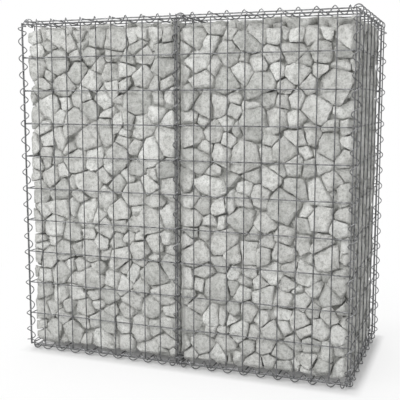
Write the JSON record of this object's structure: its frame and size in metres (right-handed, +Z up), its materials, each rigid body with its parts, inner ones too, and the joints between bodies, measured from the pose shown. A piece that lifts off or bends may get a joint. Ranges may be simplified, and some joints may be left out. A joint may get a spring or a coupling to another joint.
{
  "type": "gabion wall unit",
  "caption": "Stone-filled welded wire basket with a partition between its bays, laced by spiral wire binders along every edge, used as a retaining or garden wall unit.",
  "frame": {"origin": "middle of the basket's footprint, on the ground under the lowest spiral loops", "axes": "+Z up, -Y out of the front, +X to the right along the wall"},
  "size_m": [1.0196, 0.5196, 1.0196],
  "materials": {
    "mesh_wire": "galvanised, dull",
    "spiral_wire": "galvanised, satin",
    "stone": "broken pale grey stone, matt"
  },
  "bodies": {
    "root": {"front_panel_left": "mesh_wire", "front_panel_right": "mesh_wire", "back_panel_left": "mesh_wire", "back_panel_right": "mesh_wire", "end_panel_left": "mesh_wire", "end_panel_right": "mesh_wire", "base_panel_left": "mesh_wire", "base_panel_right": "mesh_wire", "lid_panel_left": "mesh_wire", "lid_panel_right": "mesh_wire", "partition_panel": "mesh_wire", "corner_spiral_front_left": "spiral_wire", "corner_spiral_front_right": "spiral_wire", "corner_spiral_back_left": "spiral_wire", "corner_spiral_back_right": "spiral_wire", "seam_spiral_front": "spiral_wire", "seam_spiral_back": "spiral_wire", "base_spiral_front_left": "spiral_wire", "base_spiral_front_right": "spiral_wire", "base_spiral_back_left": "spiral_wire", "base_spiral_back_right": "spiral_wire", "base_spiral_left": "spiral_wire", "base_spiral_right": "spiral_wire", "base_spiral_middle": "spiral_wire", "lid_spiral_front_left": "spiral_wire", "lid_spiral_front_right": "spiral_wire", "lid_spiral_back_left": "spiral_wire", "lid_spiral_back_right": "spiral_wire", "lid_spiral_left": "spiral_wire", "lid_spiral_right": "spiral_wire", "lid_spiral_middle": "spiral_wire", "stone_fill_left": "stone", "stone_fill_right": "stone"}
  },
  "joints": []
}
